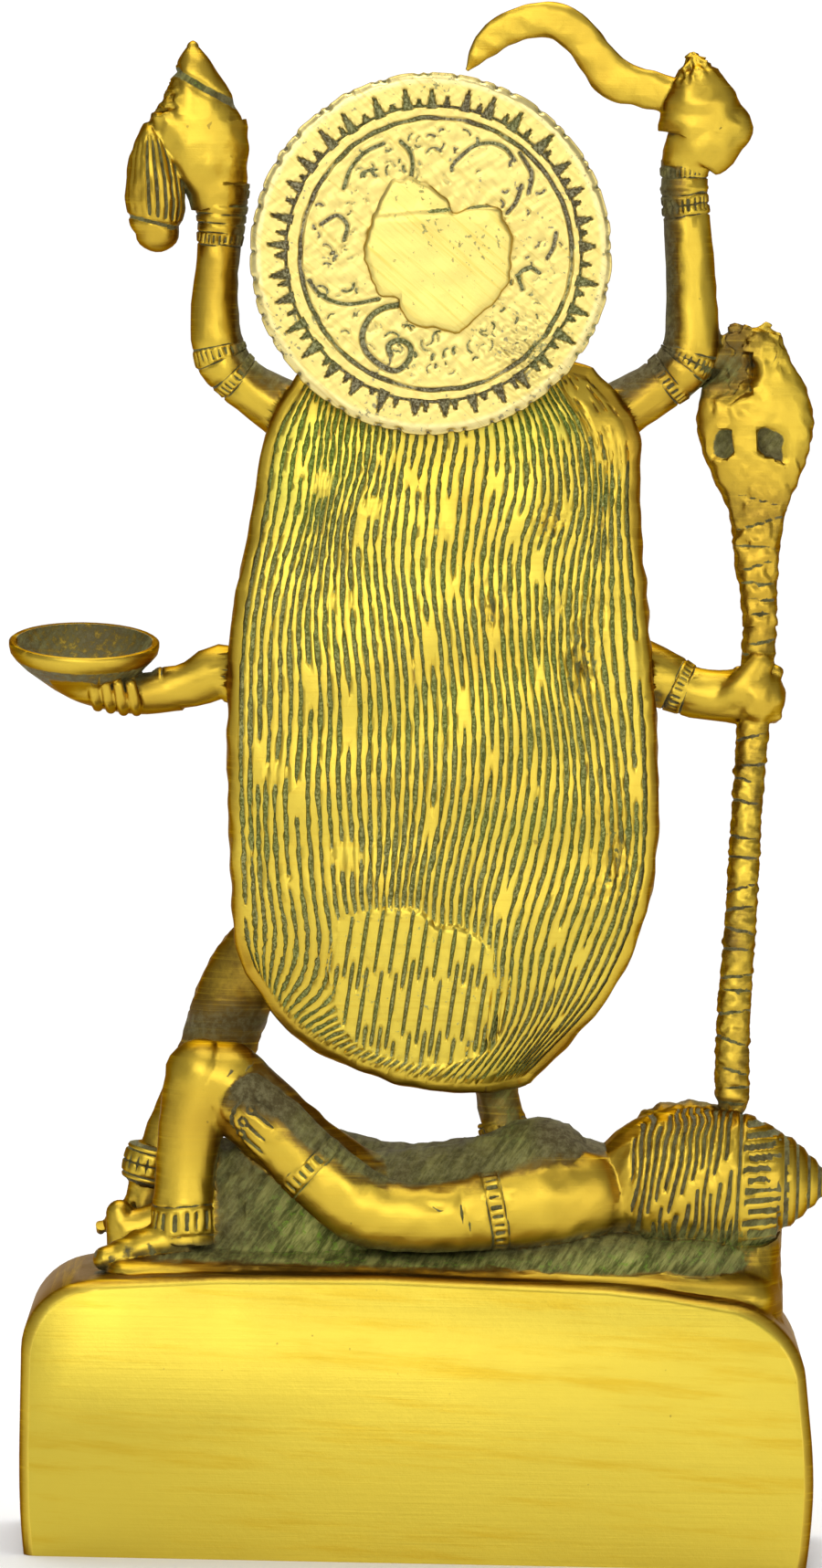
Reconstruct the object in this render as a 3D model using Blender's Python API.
"""A small cast brass statue of Kali standing on the reclining Shiva, with a riveted halo disc.

The figures, their plinth and what they hold are one casting. The halo is a separate disc: a tenon
on the back of the head passes through its bore and is hammered over behind it.
The frame: origin at the centre of the plinth's underside, +Z up, Kali faces -Y, her left is +X.
"""

import math

import bmesh
import bpy
import numpy as np
from mathutils import Matrix, Vector

MM = 0.001

# Driving dimensions
PLINTH_WIDTH = 122.6 * MM
PLINTH_FOOT_WIDTH = 120.6 * MM
PLINTH_DEPTH = 52.0 * MM
PLINTH_HEIGHT = 43.6 * MM
PLINTH_CORNER = 11.5 * MM
PLINTH_EDGE = 3.0 * MM
PLINTH_EDGE_START = math.radians(28)
PLINTH_CORNER_STEPS = 5
GROUND_RISE = 2.9 * MM

FIGURE_HEIGHT = 194.0 * MM

HALO_DIAMETER = 55.6 * MM
HALO_THICKNESS = 2.8 * MM
HALO_TEETH = 50
HALO_RELIEF = 0.55 * MM
TENON_DIAMETER = 8.0 * MM
TENON_CLEARANCE = 0.3 * MM
PEENED_HEAD_DIAMETER = 21.0 * MM
PEENED_HEAD_HEIGHT = 1.5 * MM

BOWL_DIAMETER = 23.4 * MM
BOWL_DEPTH = 6.4 * MM
BOWL_WALL = 1.1 * MM
BOWL_TILT = math.radians(12)

# The figure is drawn in parts: its height, from the ground to the top of the sword, is 194 parts.
# Points are (x, y, z) in parts from the middle of the ground, a low mound on the plinth.
PARTS_HIGH = 194.0
PART = FIGURE_HEIGHT / PARTS_HIGH

HALO_CENTRE = (1.6, 13.6, 154.9)
BOWL_CENTRE = (54.2, 0.5, 93.4)
HAIR_FRONT_Y = 4.2
HAIR_LOCKS = 20
LOCK_DEPTH = 0.75
FLAT_ANGLE = math.radians(1.5)
SHARP_ANGLE = math.radians(42)
THINNEST = 0.1
DOME_SHARE = 0.7


def place(x, y, z):
    """A point of the figure's drawing, in metres."""
    return Vector((x * PART, y * PART, PLINTH_HEIGHT + GROUND_RISE + z * PART))


def smooth(keys, count):
    """`count` evenly spaced samples of the Catmull-Rom curve through the keys, which may have any width."""
    keys = np.array(keys, float)
    padded = np.vstack([2 * keys[0] - keys[1], keys, 2 * keys[-1] - keys[-2]])
    samples = []
    for s in np.linspace(0, len(keys) - 1, count):
        i = min(int(s), len(keys) - 2)
        t = s - i
        a, b, c, d = padded[i : i + 4]
        samples.append(
            0.5
            * (2 * b + (c - a) * t + (2 * a - 5 * b + 4 * c - d) * t**2 + (3 * b - a - 3 * c + d) * t**3)
        )
    return np.array(samples)


def unit(v):
    return v / max(np.linalg.norm(v), 1e-12)


def closed_mesh(name, points, faces):
    """A mesh object from points in metres. Its faces point out, and only its crisp edges are shaded sharp."""
    mesh = bpy.data.meshes.new(name)
    mesh.from_pydata([tuple(p) for p in points], [], faces)
    bm = bmesh.new()
    bm.from_mesh(mesh)
    bmesh.ops.remove_doubles(bm, verts=bm.verts, dist=1e-7)
    bmesh.ops.recalc_face_normals(bm, faces=bm.faces)
    bm.to_mesh(mesh)
    bm.free()
    mesh.shade_smooth()
    mesh.set_sharp_from_angle(angle=SHARP_ANGLE)
    obj = bpy.data.objects.new(name, mesh)
    bpy.context.scene.collection.objects.link(obj)
    return obj


def loft(name, rings, start=None, end=None):
    """A closed solid from rings of equally many points. An end closes on its apex, or flat without one."""
    sides = len(rings[0])
    points = [p for ring in rings for p in ring]
    faces = [
        (
            r * sides + k,
            r * sides + (k + 1) % sides,
            (r + 1) * sides + (k + 1) % sides,
            (r + 1) * sides + k,
        )
        for r in range(len(rings) - 1)
        for k in range(sides)
    ]
    last = (len(rings) - 1) * sides
    for first, apex in ((0, start), (last, end)):
        if apex is None:
            faces.append(tuple(range(first, first + sides)))
            continue
        points.append(apex)
        faces += [(first + k, first + (k + 1) % sides, len(points) - 1) for k in range(sides)]
    return closed_mesh(name, points, faces)


def limb(name, keys, sides=8, rings=8, depth_axis=(0, 1, 0), power=2.0, flutes=(0, 0.0), ends=""):
    """A solid along a curve. A key is (x, y, z, half width, half depth) in parts.

    `depth_axis` is the way that the half depth is measured, and `power` squares the section off above 2
    and sharpens it below. `flutes` is how many lobes run along it, and how deep. `ends` says which end
    is round, "start", "end" or "both": the others are flat, and buried in what they join.
    """
    keys = [key if len(key) == 5 else (*key, key[3]) for key in keys]
    curve = smooth(keys, rings)
    centres = curve[:, :3]
    half_width, half_depth = np.maximum(curve[:, 3:5], THINNEST).T
    tangents = np.gradient(centres, axis=0)
    angles = np.arange(sides) * 2 * math.pi / sides
    lobes = 1 + flutes[1] * np.cos(flutes[0] * angles)
    widths = np.sign(np.cos(angles)) * np.abs(np.cos(angles)) ** (2 / power) * lobes
    depths = np.sign(np.sin(angles)) * np.abs(np.sin(angles)) ** (2 / power) * lobes

    def ring(centre, tangent, width, depth):
        tangent = unit(tangent)
        back = unit(np.array(depth_axis, float) - np.dot(depth_axis, tangent) * tangent)
        across = np.cross(back, tangent)
        return [
            place(*(centre + across * width * a + back * depth * b))
            for a, b in zip(widths, depths, strict=True)
        ]

    made = [ring(*one) for one in zip(centres, tangents, half_width, half_depth, strict=True)]
    apexes = {"start": None, "end": None}
    for end, k, way in (("start", 0, -1), ("end", -1, 1)):
        if ends in (end, "both"):
            reach = way * min(half_width[k], half_depth[k]) * unit(tangents[k])
            size = half_width[k] * DOME_SHARE, half_depth[k] * DOME_SHARE
            dome = ring(centres[k] + DOME_SHARE * reach, tangents[k], *size)
            made.insert(0 if way < 0 else len(made), dome)
            apexes[end] = place(*(centres[k] + reach))
    return loft(name, made, apexes["start"], apexes["end"])


def ellipsoid(name, centre, radii, segments=12, rings=8, turn=Matrix.Identity(3)):
    """An ellipsoid in parts, turned about its centre."""
    bm = bmesh.new()
    bmesh.ops.create_uvsphere(bm, u_segments=segments, v_segments=rings, radius=1)
    points = [
        place(*(Vector(centre) + turn @ Vector(a * r for a, r in zip(v.co, radii, strict=True))))
        for v in bm.verts
    ]
    faces = [tuple(v.index for v in face.verts) for face in bm.faces]
    bm.free()
    return closed_mesh(name, points, faces)


def turned(name, profile, centre, segments=16, axis=(0, 0, 1), lobes=0, lobe_depth=0.0):
    """A solid of revolution in parts. Its profile is (radius, distance along the axis), from axis to axis."""
    turn = Vector((0, 0, 1)).rotation_difference(Vector(axis)).to_matrix()
    rings = []
    for radius, along in profile[1:-1]:
        ring = []
        for k in range(segments):
            a = 2 * math.pi * k / segments
            r = radius * (1 + lobe_depth * math.cos(lobes * a))
            ring.append(place(*(Vector(centre) + turn @ Vector((r * math.cos(a), r * math.sin(a), along)))))
        rings.append(ring)
    ends = [place(*(Vector(centre) + turn @ Vector((0, 0, profile[k][1])))) for k in (0, -1)]
    return loft(name, rings, *ends)


def plinth():
    """The block: a flat back and front with a crisp edge, rounded top corners, and a flat underside."""
    half, foot = PLINTH_WIDTH / 2, PLINTH_FOOT_WIDTH / 2

    def outline(inset):
        side = half - inset
        radius = PLINTH_CORNER
        top = PLINTH_HEIGHT - inset
        right = [(foot - inset, 0.0), (side, 0.22 * PLINTH_HEIGHT), (side, 0.5 * PLINTH_HEIGHT)]
        for k in range(PLINTH_CORNER_STEPS + 1):
            a = math.pi / 2 * k / PLINTH_CORNER_STEPS
            right.append((side - radius + radius * math.cos(a), top - radius + radius * math.sin(a)))
        right += [(side * 0.5, top), (side * 0.2, top)]
        return right + [(-x, z) for x, z in reversed(right)]

    rings = []
    for sign in (1, -1):
        steps = [PLINTH_EDGE_START, math.radians(58), math.radians(90)]
        part = []
        for a in steps:
            inset = PLINTH_EDGE * (1 - math.sin(a))
            y = PLINTH_DEPTH / 2 - PLINTH_EDGE * (math.cos(PLINTH_EDGE_START) - math.cos(a))
            part.append([Vector((x, sign * y, z)) for x, z in outline(inset)])
        rings += part if sign == 1 else part[::-1]
    return loft("plinth", rings)


# The back of the hair, as rows of (x, z) from the shoulders down to the hem.
# Each row runs from Kali's left to her right.
HAIR_ROWS = (
    ((20.5, 135.0), (-2.0, 141.0), (-23.0, 136.5)),
    ((25.2, 126.0), (-2.0, 128.0), (-29.4, 128.0)),
    ((27.0, 114.0), (-1.5, 115.0), (-30.2, 114.0)),
    ((29.8, 97.0), (-1.4, 98.0), (-32.0, 97.0)),
    ((30.4, 76.0), (-1.7, 74.0), (-33.8, 75.0)),
    ((29.9, 60.0), (-1.5, 52.0), (-33.2, 57.5)),
    ((29.0, 50.0), (-0.5, 37.0), (-27.5, 41.5)),
    ((26.6, 43.5), (20.5, 35.2), (11.5, 30.0), (1.0, 27.0), (-8.5, 26.3), (-15.6, 27.6)),
)
HAIR_BACK_Y = (10.2, 12.2, 13.4, 14.8, 15.5, 15.0, 13.0, 10.8)
HAIR_CAMBER = 2.2


def hair():
    """The mantle of hair: a plate with a flat front, a cambered back cut into long locks, and round edges."""
    columns, rows = 2 * HAIR_LOCKS + 1, 9
    across = [smooth(row, columns) for row in HAIR_ROWS]
    grid = np.array([smooth([row[c] for row in across], rows) for c in range(columns)])
    spine = smooth([[y] for y in HAIR_BACK_Y], rows)[:, 0]
    u = np.linspace(-1, 1, columns)
    back = spine[None, :] - HAIR_CAMBER * np.abs(u[:, None]) ** 2.5
    back[1::2, 1:-1] -= LOCK_DEPTH
    points = [place(grid[c, r, 0], back[c, r], grid[c, r, 1]) for c in range(columns) for r in range(rows)]
    faces = [
        (c * rows + r, (c + 1) * rows + r, (c + 1) * rows + r + 1, c * rows + r + 1)
        for c in range(columns - 1)
        for r in range(rows - 1)
    ]
    border = [(c, 0) for c in range(columns)] + [(columns - 1, r) for r in range(1, rows)]
    border += [(c, rows - 1) for c in range(columns - 2, -1, -1)] + [(0, r) for r in range(rows - 2, 0, -1)]
    flat = np.array([grid[c, r] for c, r in border])
    edge_y = np.array([back[c, r] for c, r in border])
    ahead = np.roll(flat, -1, axis=0) - np.roll(flat, 1, axis=0)
    out = np.stack([-ahead[:, 1], ahead[:, 0]], axis=1)
    out /= np.linalg.norm(out, axis=1)[:, None]
    out *= np.sign(((flat - flat.mean(axis=0)) * out).sum())
    loop = [c * rows + r for c, r in border]
    count = len(border)
    for bulge, share in ((1.5, 0.35), (1.0, 1.0)):
        ring = []
        for (x, z), (ox, oz), y in zip(flat, out, edge_y, strict=True):
            ring.append(len(points))
            points.append(place(x + ox * bulge, y + (HAIR_FRONT_Y - y) * share, z + oz * bulge))
        faces += [(loop[k], loop[(k + 1) % count], ring[(k + 1) % count], ring[k]) for k in range(count)]
        loop = ring
    faces.append(tuple(loop))
    return closed_mesh("hair", points, faces)


TRUNK_X = -2.5
FACE = (0.3, -3.5, 149.0)


def kali_body():
    """Kali's trunk, neck, head, crown, skirt, and the hair behind her head that carries the tenon."""
    limb(
        "trunk",
        [
            (TRUNK_X, -1, 52, 11, 7), (TRUNK_X, -1, 60, 13, 8), (TRUNK_X, -1, 70, 11.4, 6.8),
            (TRUNK_X, -1, 79, 9.8, 6),
        ]
        + [(TRUNK_X, -1, 90, 12, 7.2), (TRUNK_X, -1, 102, 14.6, 8), (TRUNK_X, 0, 113, 16.8, 7.4)]
        + [(TRUNK_X, 0.5, 122, 15.5, 6.6), (TRUNK_X + 1, 0, 129, 7, 5), (0, -1, 138, 4.5, 4.8)],
        sides=10,
        rings=10,
    )
    for side in (1, -1):
        ellipsoid("breast", (TRUNK_X + 6.4 * side, -7.4, 105), (5.4, 4.6, 5.2), 8, 5)
        ellipsoid("ear_ring", (FACE[0] + 8.6 * side, FACE[1] - 0.5, 142), (2.0, 2.6, 3.2), 6, 4)
    ellipsoid("head", FACE, (9.2, 9.6, 12.0), 12, 8)
    limb("nose", [(0.3, -12.6, 152.5, 0.8), (0.3, -13.8, 148.6, 1.3)], 5, 2, depth_axis=(1, 0, 0))
    limb("tongue", [(0.3, -11.4, 143.2, 1.5, 1.2), (0.3, -12.2, 139.4, 1.3, 1.0)], 5, 2)
    limb(
        "eyes",
        [
            (-5.6, -10.6, 150.4, 0.4, 0.8), (-3.4, -11.9, 150.4, 0.9, 1.2), (0.3, -11.4, 150.2, 0.3, 0.5),
            (4.0, -11.9, 150.4, 0.9, 1.2), (6.2, -10.6, 150.4, 0.4, 0.8),
        ],
        5,
        5,
    )
    turned(
        "crown",
        [
            (0, -6), (9.6, -5), (10.6, -2), (8.6, 1.2), (9.0, 4), (7.2, 6.6), (7.6, 8.5), (5.4, 11.6),
            (5.6, 13), (2.6, 16.5),
        ]
        + [(0.8, 19.5), (0, 20)],
        (0.3, -2.5, 158.5),
        10,
        lobes=5,
        lobe_depth=0.05,
    )
    limb(
        "nape",
        [
            (-1.5, 3.5, 114, 15, 5), (-1.5, 3.5, 124, 15, 5), (-0.5, 4, 134, 13, 5.5), (0, 4, 142, 11.4, 6),
            (0.5, 3.5, 152, 10.5, 6.5), (1, 3, 162, 8, 5),
        ],
        10,
        6,
    )
    limb(
        "skirt",
        [
            (TRUNK_X, -1.5, 66, 11.4, 7.4), (TRUNK_X, -2, 60, 14.4, 9.6), (TRUNK_X, -2.5, 53, 16, 11),
            (TRUNK_X, -2.5, 47, 16.6, 11.6),
        ],
        sides=20,
        rings=4,
        flutes=(10, 0.07),
    )


# The left half of the garland, from the shoulder to its lowest head. `TRUNK_X` is where it is mirrored.
GARLAND = (
    (7.0, -5.0, 122), (9.4, -6.0, 111), (9.0, -6.0, 99), (6.4, -6.0, 87), (3.4, -7.4, 75),
    (TRUNK_X, -10.8, 64),
)
GARLAND_HEADS = 15


def garland():
    """The garland of heads: a chain of beads that hangs from both shoulders down the front."""
    left = np.array(GARLAND, float)
    right = left[-2::-1].copy()
    right[:, 0] = 2 * TRUNK_X - right[:, 0]
    for k, (x, y, z) in enumerate(smooth(np.vstack([left, right]), GARLAND_HEADS)):
        ellipsoid(f"garland_head_{k}", (x, y, z), (3.0, 2.9, 4.4), 5, 3)


def kali_legs():
    """Her left leg strides out to the plinth, and her right one stands on Shiva's chest."""
    limb(
        "left_leg",
        [(2, -1, 56, 8, 7.5), (15, -3, 52, 7.4, 7), (24.5, -6, 46, 6.4, 6.2), (29.6, -7.5, 38.5, 6.1, 5.6)]
        + [
            (32.4, -8.5, 30, 5.8, 5.2), (37.0, -9.5, 21, 4.4, 4.2), (41.2, -10, 13.5, 3.3, 3.3),
            (43.2, -10.5, 4.5, 3.5, 3.6),
        ],
        rings=10,
    )
    limb(
        "left_foot",
        [(43.0, -9.5, 3.4, 3.6, 3.8), (45.5, -13.0, 2.4, 3.1, 3.6), (47.0, -17, 1.2, 2.2, 3.2)],
        8,
        4,
        (1, 0, 0),
        ends="end",
    )
    limb("left_anklet", [(42.0, -10, 13.6, 4.0), (42.6, -10.2, 11, 4.6), (42.9, -10.3, 8.6, 4.0)], 10, 3)
    limb(
        "right_leg",
        [(-7, -1, 56, 8, 7.5), (-9, -3, 48, 7, 6.6), (-10, -3.5, 39, 5.6, 5.6), (-10, -1, 31, 4.4, 4.4)]
        + [(-11.2, 1, 25, 3.3, 3.4), (-13.2, 1.6, 17, 3.8, 3.8)],
        rings=8,
    )
    limb(
        "right_foot",
        [(-13.4, 2.4, 18.2, 3.0, 3.6), (-14.4, -3, 17.0, 2.6, 3.6), (-15.2, -8, 15.0, 1.9, 3.4)],
        8,
        3,
        (1, 0, 0),
        ends="end",
    )


def kali_arms():
    """Four arms: a raised pair with the severed head and the sword, and a low pair for the rest."""
    limb(
        "left_raised_arm",
        [
            (10, 0, 119, 6.5, 5.5), (16, 0.5, 123.5, 6, 5), (23, 1.5, 129.5, 4.8), (29.4, 2, 133.6, 3.9),
            (33.7, 2.5, 138, 4.1),
        ]
        + [(34.9, 2.5, 145.5, 3.7), (34.6, 3, 152.5, 3.3), (34.1, 3, 158.5, 3.5), (34.1, 3, 165, 4.1)],
        rings=11,
    )
    limb(
        "right_raised_arm",
        [
            (-15, 0, 119, 6.5, 5.5), (-21.5, 0.8, 125, 6, 5), (-28.2, 1.5, 131, 4.6), (-34.2, 2, 135, 4.1),
            (-38.7, 2.5, 139.6, 4.4),
        ]
        + [(-39.0, 2.5, 147, 4.0), (-38.3, 3, 156.7, 3.7), (-37.5, 3, 165, 3.5), (-37.4, 3, 170, 3.8)],
        rings=11,
    )
    limb(
        "left_low_arm",
        [
            (9, -0.5, 119, 5, 5), (14.5, -1, 108, 5, 5), (18.6, -0.6, 97, 4.6), (21.6, 0.4, 89.4, 4.7),
            (28, 1.4, 88.2, 4.6),
        ]
        + [(33, 1.5, 89.2, 4.3), (37.0, 1.2, 87.3, 3.7), (43, 0.8, 86.1, 3.2)],
        rings=10,
    )
    limb(
        "right_low_arm",
        [
            (-14, -0.5, 119, 5, 5), (-19.5, -1, 108, 5, 5), (-23.4, -0.6, 98, 4.8), (-25.4, 0.4, 92, 5),
            (-30.5, 1, 91.2, 5.0),
        ]
        + [(-36.0, 1.2, 89.4, 4.5), (-41, 1.5, 87.4, 3.9), (-48, 2, 87, 4.3)],
        rings=10,
    )
    for name, near, far, radius in (
        ("left_armlet", (31.2, 2.2, 134.6), (33.8, 2.4, 138.4), 4.7),
        ("right_armlet", (-35.6, 2.3, 136.0), (-38.6, 2.5, 139.8), 4.9),
        ("left_bracelet", (34.2, 3, 157.6), (34.1, 3, 164), 4.3),
        ("right_bracelet", (-37.5, 3, 162.5), (-37.4, 3, 169), 4.1),
    ):
        middle = [(a + b) / 2 for a, b in zip(near, far, strict=True)]
        limb(name, [(*near, 0.9 * radius), (*middle, radius), (*far, 0.9 * radius)], 8, 3)


def left_raised_hand():
    """A fist seen from the back, a tuft of hair above it, and the severed head that hangs from it."""
    limb(
        "left_fist",
        [
            (34.2, 3, 163.5, 4.1, 3.8), (35.2, 3.3, 168, 5.3, 4.4), (37.6, 3.4, 173, 7.2, 4.8),
            (38.5, 3.1, 177.6, 5.6, 4.3),
        ]
        + [(38.7, 2.8, 181.6, 3.4, 3.3), (39.1, 2.5, 185.4, 1.0, 1.2)],
        rings=8,
        ends="end",
    )
    limb(
        "severed_head",
        [
            (43.4, 3.2, 174.6, 1.6, 2.2), (44.4, 3.8, 170.5, 3.7, 4.2), (44.6, 4.1, 165.5, 4.5, 5.0),
            (44.3, 3.9, 161, 4.6, 4.9),
        ]
        + [(43.8, 3.6, 157.6, 3.1, 3.4)],
        rings=6,
        ends="end",
    )
    ellipsoid("severed_nose", (44.4, -1.0, 164.6), (0.9, 1.2, 1.6), 5, 4)
    for k in range(4):
        limb(
            f"left_finger_{k}",
            [
                (32.8 + 3 * k, -0.2, 173.2, 1.3), (33.2 + 3 * k, -1.4, 170.6, 1.6),
                (33.6 + 3 * k, -0.2, 168.0, 1.2),
            ],
            5,
            3,
        )


def right_raised_hand():
    """The fist on the sword's grip, with the pommel end at the outer side, and the hooked blade."""
    limb(
        "right_fist",
        [
            (-37.4, 3, 169, 3.9, 3.7), (-37.8, 3.2, 173, 5.0, 4.4), (-38.4, 3.3, 178, 5.8, 4.7),
            (-38.9, 3.2, 182.2, 4.0, 4.0),
        ]
        + [(-38.9, 3, 184.6, 1.8, 2.2)],
        rings=6,
        ends="end",
    )
    limb(
        "pommel",
        [(-38, 3, 178.4, 5.2, 4.4), (-42, 3.1, 177, 5.9, 4.4), (-45.4, 3.1, 175, 3.9, 3.6)],
        8,
        4,
        ends="end",
    )
    for k in range(4):
        limb(
            f"right_finger_{k}",
            [
                (-34.6 - 3 * k, -0.2, 180.6 - k, 1.3), (-35 - 3 * k, -1.7, 178 - k, 1.6),
                (-35.3 - 3 * k, -0.2, 175.4 - k, 1.2),
            ],
            5,
            3,
        )
    limb(
        "sword",
        [
            (-3.4, 3, 183.2, 0.25, 0.4), (-5.8, 3, 186.7, 1.9, 0.8), (-9.4, 3, 189.7, 2.5, 1.1),
            (-13.5, 3, 191.1, 2.7, 1.3),
        ]
        + [
            (-17.6, 3, 191.0, 2.9, 1.3), (-21.2, 3, 188.3, 2.9, 1.3), (-23.9, 3, 184.8, 3.0, 1.3),
            (-26.5, 3, 182.3, 3.4, 1.4),
        ]
        + [(-30, 3, 181.2, 3.0, 1.5), (-35.5, 3, 179.9, 2.8, 1.6)],
        sides=6,
        rings=15,
        power=1.7,
    )


def trident():
    """The trident stands on Shiva's head; its blades are closed into a hood with two blind pits behind."""
    limb(
        "shaft",
        [
            (-48.0, 6, 21.8, 0.9), (-47.8, 6, 25.4, 2.0), (-47.6, 5.8, 28.6, 2.7), (-47.8, 5.5, 38, 2.6),
            (-48.6, 4.8, 54, 2.45),
        ]
        + [(-49.3, 3.6, 72, 2.4), (-50.2, 2.4, 88, 2.6), (-50.7, 2, 99, 2.6)],
        rings=9,
    )
    limb(
        "hood",
        [
            (-50.6, 2, 98, 2.6, 2.5), (-50.2, 2, 106, 3.0, 2.6), (-49.8, 2, 113, 3.9, 2.8),
            (-49.5, 2.1, 120, 6.2, 3.0),
        ]
        + [
            (-49.1, 2.3, 126.5, 8.7, 3.2), (-49.1, 2.3, 131, 9.1, 3.1), (-49.4, 2.1, 135.5, 8.0, 2.8),
            (-49.2, 2, 139.6, 5.9, 2.3),
        ]
        + [(-48.8, 1.9, 143, 4.6, 1.8)],
        sides=10,
        rings=11,
        power=2.5,
    )
    for k, (x, z) in enumerate(((-45.4, 143.4), (-48.8, 145.0), (-51.8, 144.4))):
        limb(f"hood_tine_{k}", [(x, 1.9, z - 3, 1.7, 1.5), (x, 1.8, z, 0.8, 0.8)], 5, 2)
    limb("web", [(-40.5, 1.5, 139.0, 3.8, 3), (-47.5, 1.5, 138.6, 4.6, 2.4)], 8, 3)
    ellipsoid("staff_fist", (-50.2, 2.2, 87.2), (4.6, 5.2, 4.9), 10, 6)
    for k in range(4):
        z = 83.6 + 2.5 * k
        limb(
            f"staff_finger_{k}",
            [
                (-46.6, -1.9, z, 1.3), (-50.4, -2.6, z, 1.5), (-53.6, -0.2, z, 1.5),
                (-53.8, 3.2, z + 0.3, 1.3),
            ],
            5,
            3,
        )


def bowl():
    """The skull bowl, tilted a little to the back, and the hand that carries it from below."""
    radius = BOWL_DIAMETER / 2 / PART
    depth, wall = BOWL_DEPTH / PART, BOWL_WALL / PART
    profile = [
        (0, -depth - wall), (0.42 * radius, -depth - wall), (0.8 * radius, -0.62 * depth),
        (0.98 * radius, -0.3 * depth),
    ]
    profile += [
        (radius, 0), (radius - wall, 0.2), (0.86 * (radius - wall), -0.42 * depth),
        (0.45 * (radius - wall), -0.9 * depth),
    ]
    profile += [(0, -depth)]
    tilt = (0, math.sin(BOWL_TILT), math.cos(BOWL_TILT))
    turned("bowl", profile, BOWL_CENTRE, 16, tilt)
    x, y, z = BOWL_CENTRE
    under = z - depth - wall
    limb(
        "bowl_hand",
        [(x - 15, y, z - 7.0, 3.4, 3.6), (x - 8, y, under - 0.4, 3.2, 4.6), (x, y, under + 0.6, 2.6, 5.2)]
        + [(x + 5.5, y, under + 2.6, 1.6, 4.6), (x + 8.5, y, under + 4.6, 0.9, 3.4)],
        rings=7,
    )


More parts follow.
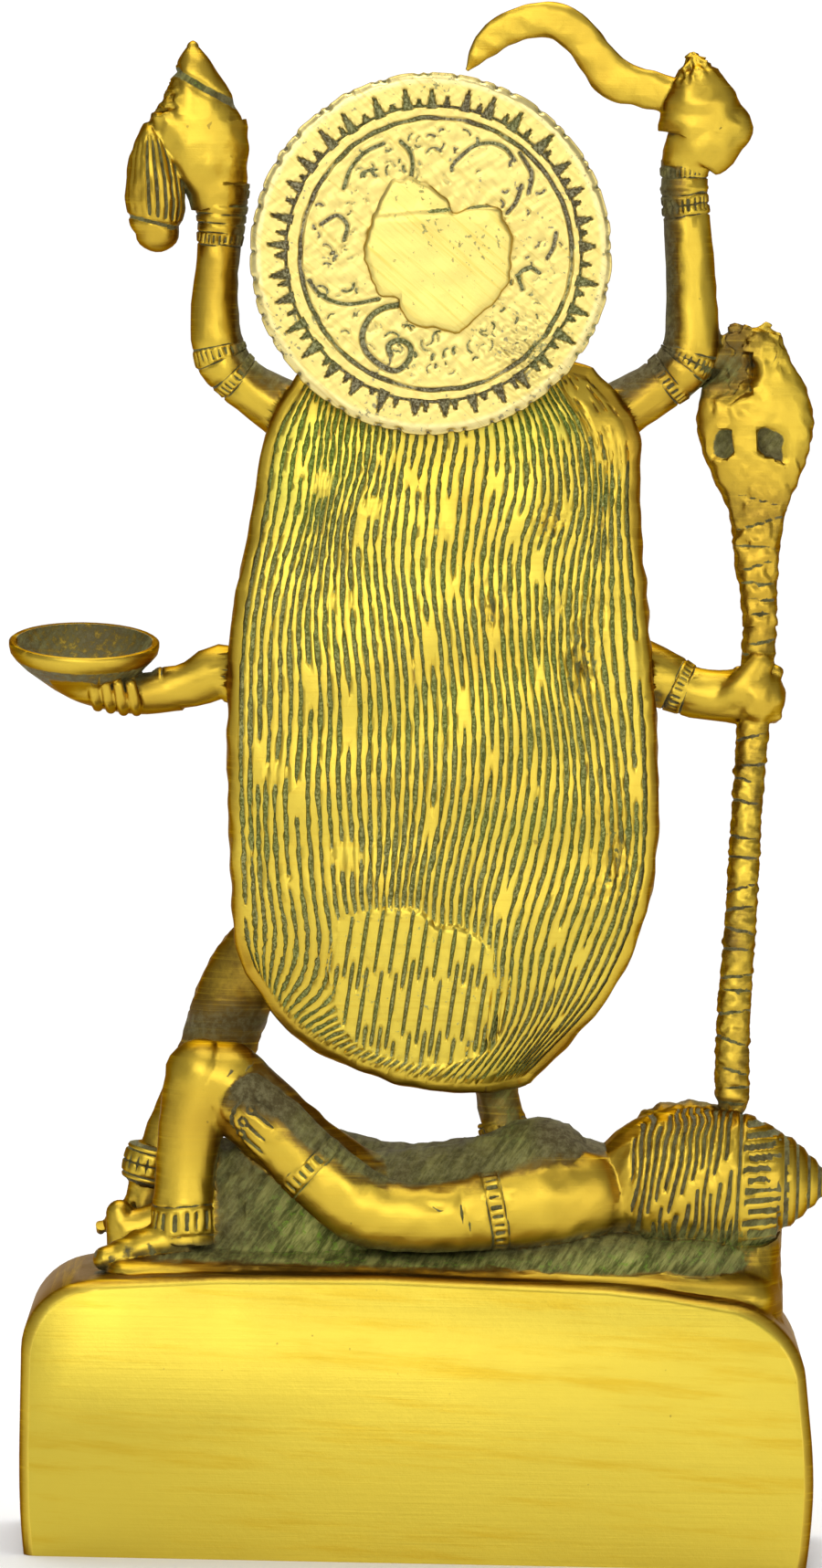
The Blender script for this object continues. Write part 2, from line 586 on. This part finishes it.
def shiva():
    """Shiva on his back along the plinth: near knee raised, near arm along his side, head at Kali's right."""
    limb(
        "shiva_trunk",
        [
            (24, 8, 6.5, 6.5, 7), (14, 8, 7.4, 7.5, 8), (5, 8.5, 7.8, 8, 8.8), (-5, 9, 8.6, 8.4, 9.4),
            (-13, 9, 9.6, 10, 10),
        ]
        + [(-19, 9, 10.6, 10.8, 10.4), (-25, 8.5, 10, 8.2, 9), (-33, 8.5, 10, 7.4, 7)],
        sides=10,
        rings=9,
    )
    limb(
        "near_thigh",
        [
            (5, 10.5, 7, 6.5, 7), (15, 11.5, 13, 6.2, 6.4), (23, 11.5, 19.4, 6.2, 6),
            (31, 11.2, 26.2, 6.6, 5.8),
        ],
        rings=6,
        ends="end",
    )
    limb(
        "near_shin",
        [(34, 11, 27, 6.2, 5.8), (35.8, 11, 20, 5.2, 5), (36.7, 11, 12, 4.6, 4.6), (36.8, 11, 2, 5.2, 5)],
        rings=6,
        ends="start",
    )
    limb(
        "near_foot",
        [(36, 11, 2.2, 3.6, 4.8), (43, 11.5, 0.2, 2.8, 4.0), (49, 12, -1.6, 1.8, 3.2)],
        8,
        4,
        ends="end",
    )
    limb("shiva_anklet", [(36.8, 11, 7.4, 5.2), (36.9, 11, 5.0, 5.9), (37, 11, 2.6, 5.6)], 10, 3)
    limb(
        "near_arm",
        [
            (-24, 13.5, 9.8, 6.2, 5.2), (-19, 15, 9.4, 6.8, 5.4), (-12, 16.2, 8.0, 6.3, 5.2),
            (-5, 17, 6.6, 5.6, 5.0),
        ]
        + [
            (2, 17.2, 6.2, 5.4, 4.8), (9, 17, 7.6, 5.8, 4.4), (16.6, 16.6, 13.2, 5.5, 3.9),
            (23, 16.2, 19.6, 5.2, 3.4),
        ]
        + [(28, 15.6, 24.2, 4.4, 2.8)],
        sides=10,
        rings=11,
        ends="both",
    )
    limb(
        "far_leg",
        [
            (5, 1, 7, 6.5, 6.5), (17, 0, 8.0, 6.8, 6.4), (29, -1, 6.4, 5.6, 5.4), (40, -2, 3, 3.6, 3.8),
            (47, -1.6, 1, 3, 3),
        ],
        rings=7,
    )
    limb("far_foot", [(46.0, -1.6, -0.4, 3, 2.8), (47.0, -2, 4.2, 2.2, 2.6)], 8, 3, ends="end")
    limb(
        "far_arm",
        [
            (-21, 2, 12, 5, 5), (-12, -3.5, 8, 4.2, 4.2), (-2, -5, 4.6, 3.8, 3.8), (6, -4, 6.4, 3.2, 3.2),
            (11, -2, 10, 2.8, 2.4),
        ],
        rings=7,
        ends="end",
    )
    ellipsoid("recess_mound", (21, 5.5, 1), (18, 7.5, 13), 10, 6)
    limb(
        "ground",
        [
            (46, 7, -3.4, 3.2, 12), (30, 7, -3.0, 4.4, 15), (0, 7, -3.0, 4.6, 16), (-30, 7, -3.0, 4.8, 16),
            (-52, 7.5, -3.0, 5.2, 13),
        ],
        10,
        7,
        ends="both",
    )
    limb(
        "shiva_head",
        [
            (-29.6, 8.5, 10.6, 7.4, 7), (-34, 8.5, 11.4, 9.9, 9), (-40, 8.5, 12.2, 11.2, 10),
            (-46, 8.5, 12.1, 11.1, 10),
        ]
        + [(-51, 8.5, 11.8, 10.4, 9.2), (-55, 8.5, 11.8, 8.6, 8)],
        sides=12,
        rings=8,
        power=2.2,
    )
    ellipsoid("shiva_face", (-39.5, 4.2, 13.5), (9.0, 8.0, 8.4), 10, 6)
    limb("shiva_nose", [(-43, -3.2, 16.0, 0.8), (-39.6, -4.2, 15.6, 1.3)], 5, 2)
    ellipsoid("shiva_crest", (-41.5, 4.5, 19.8), (8.0, 5, 4.4), 8, 5)
    limb(
        "pillow",
        [(-31, 8.5, -0.6, 4, 9), (-43, 8.5, -0.2, 6, 12.6), (-52, 8.5, -0.8, 4.4, 10)],
        10,
        6,
        ends="both",
    )
    turned(
        "topknot",
        [
            (0, -4), (8.2, -3), (8.0, 0.6), (6.4, 1.2), (6.6, 2.6), (4.8, 3.2), (4.8, 4.8), (2.8, 5.4),
            (2.2, 6.8), (0, 7.6),
        ],
        (-55.2, 8.5, 12.2),
        10,
        axis=(-1, 0, 0),
    )


def halo_radii():
    """The halo's rings, outwards: bore, field, groove, band, teeth, rim."""
    rim = HALO_DIAMETER / 2
    return TENON_DIAMETER / 2 + TENON_CLEARANCE, 0.72 * rim, 0.77 * rim, 0.81 * rim, 0.93 * rim, rim


def halo(material):
    """The disc, upright behind the head: its back has an engraved ring and a border of pointed teeth."""
    bore, field, groove, band, teeth, rim = halo_radii()
    back, front = HALO_THICKNESS / 2, -HALO_THICKNESS / 2
    edge = 0.25 * HALO_THICKNESS
    centre = place(*HALO_CENTRE)
    centre.y += TENON_CLEARANCE + HALO_THICKNESS / 2
    steps = (
        (bore, back, 0),
        (field, back, 0),
        (groove, back - HALO_RELIEF, 0),
        (band, back, 0),
        (teeth, back, HALO_RELIEF),
        (rim - edge, back, 0),
        (rim, back - edge, 0),
        (rim, front, 0),
        (bore, front, 0),
    )
    points, faces = [], []
    for k in range(HALO_TEETH):
        angle = 2 * math.pi * k / HALO_TEETH
        scallop = 1 - 0.012 * (k % 2)
        for radius, y, notch in steps:
            r = radius * scallop if radius >= rim - edge else radius
            r -= (notch > 0) * (k % 2) * (teeth - band) * 0.7
            y -= notch
            points.append(centre + Vector((r * math.sin(angle), y, r * math.cos(angle))))
    count = len(steps)
    for k in range(HALO_TEETH):
        a, b = k * count, (k + 1) % HALO_TEETH * count
        faces += [(a + s, a + (s + 1) % count, b + (s + 1) % count, b + s) for s in range(count)]
    disc = closed_mesh("halo", points, faces)
    disc.data.materials.append(material)
    return disc


def peened_tenon():
    """The tenon from the head through the halo's bore, and its head, hammered out and filed flat."""
    segments = 18
    x, y, z = HALO_CENTRE
    seat = place(x, y, z).y
    behind = seat + TENON_CLEARANCE * 2 + HALO_THICKNESS
    root = place(x, 2.0, z).y
    outline = (
        0.96, 0.9, 0.97, 1.05, 1.02, 0.94, 1.04, 1.1, 0.98, 0.92, 1.0, 0.9, 0.99, 1.06, 0.95, 1.0, 1.08,
        1.03,
    )
    rings = []
    for along, radius, rough in (
        (root, TENON_DIAMETER / 2, 0),
        (behind, TENON_DIAMETER / 2, 0),
        (behind, PEENED_HEAD_DIAMETER / 2, 1),
        (behind + 0.6 * PEENED_HEAD_HEIGHT, PEENED_HEAD_DIAMETER / 2, 1),
        (behind + PEENED_HEAD_HEIGHT, 0.88 * PEENED_HEAD_DIAMETER / 2, 1),
    ):
        ring = []
        for k in range(segments):
            a = 2 * math.pi * k / segments
            r = radius * (outline[k] if rough else 1)
            ring.append(Vector((x * PART + r * math.sin(a), along, place(x, y, z).z + r * math.cos(a))))
        rings.append(ring)
    loft("tenon", rings)


def halo_seat():
    """A short boss on the back of the head that the halo lies against."""
    x, y, z = HALO_CENTRE
    limb("halo_seat", [(x, 2, z, 7, 7), (x, y, z, 6.4, 6.4)], 12, 2, depth_axis=(1, 0, 0))


def hood_pits():
    """The two blind pits in the back of the trident's hood."""
    return [
        limb("left_pit", [(-44.4, 5.8, 128.4, 1.4, 2.2), (-44.2, 5.8, 124.4, 1.6, 2.2)], 6, 2),
        limb("right_pit", [(-52.3, 5.9, 129.0, 1.9, 2.4), (-52.1, 5.9, 124.6, 2.1, 2.4)], 6, 2),
    ]


def brass(name, color, roughness):
    material = bpy.data.materials.new(name)
    material.use_nodes = True
    shader = material.node_tree.nodes["Principled BSDF"]
    shader.inputs["Base Color"].default_value = (*color, 1)
    shader.inputs["Metallic"].default_value = 1.0
    shader.inputs["Roughness"].default_value = roughness
    return material


def helper(obj):
    obj.hide_render = True
    obj.display_type = "WIRE"


def main():
    for obj in list(bpy.data.objects):
        bpy.data.objects.remove(obj)
    figure = plinth()
    figure.name = "kali_statue"
    kali_body()
    garland()
    kali_legs()
    kali_arms()
    hair()
    left_raised_hand()
    right_raised_hand()
    trident()
    bowl()
    shiva()
    halo_seat()
    peened_tenon()
    forms = bpy.data.collections.new("forms")
    bpy.context.scene.collection.children.link(forms)
    for obj in list(bpy.context.scene.collection.objects):
        if obj is not figure:
            bpy.context.scene.collection.objects.unlink(obj)
            forms.objects.link(obj)
            helper(obj)
    union = figure.modifiers.new("one casting", "BOOLEAN")
    union.operation = "UNION"
    union.operand_type = "COLLECTION"
    union.collection = forms
    for pit in hood_pits():
        helper(pit)
        cut = figure.modifiers.new(pit.name, "BOOLEAN")
        cut.operation = "DIFFERENCE"
        cut.object = pit
    plain = figure.modifiers.new("flat faces made one", "DECIMATE")
    plain.decimate_type = "DISSOLVE"
    plain.angle_limit = FLAT_ANGLE
    figure.data.materials.append(brass("brass", (0.78, 0.56, 0.16), 0.32))
    halo(brass("halo_brass", (0.86, 0.68, 0.24), 0.3))


main()
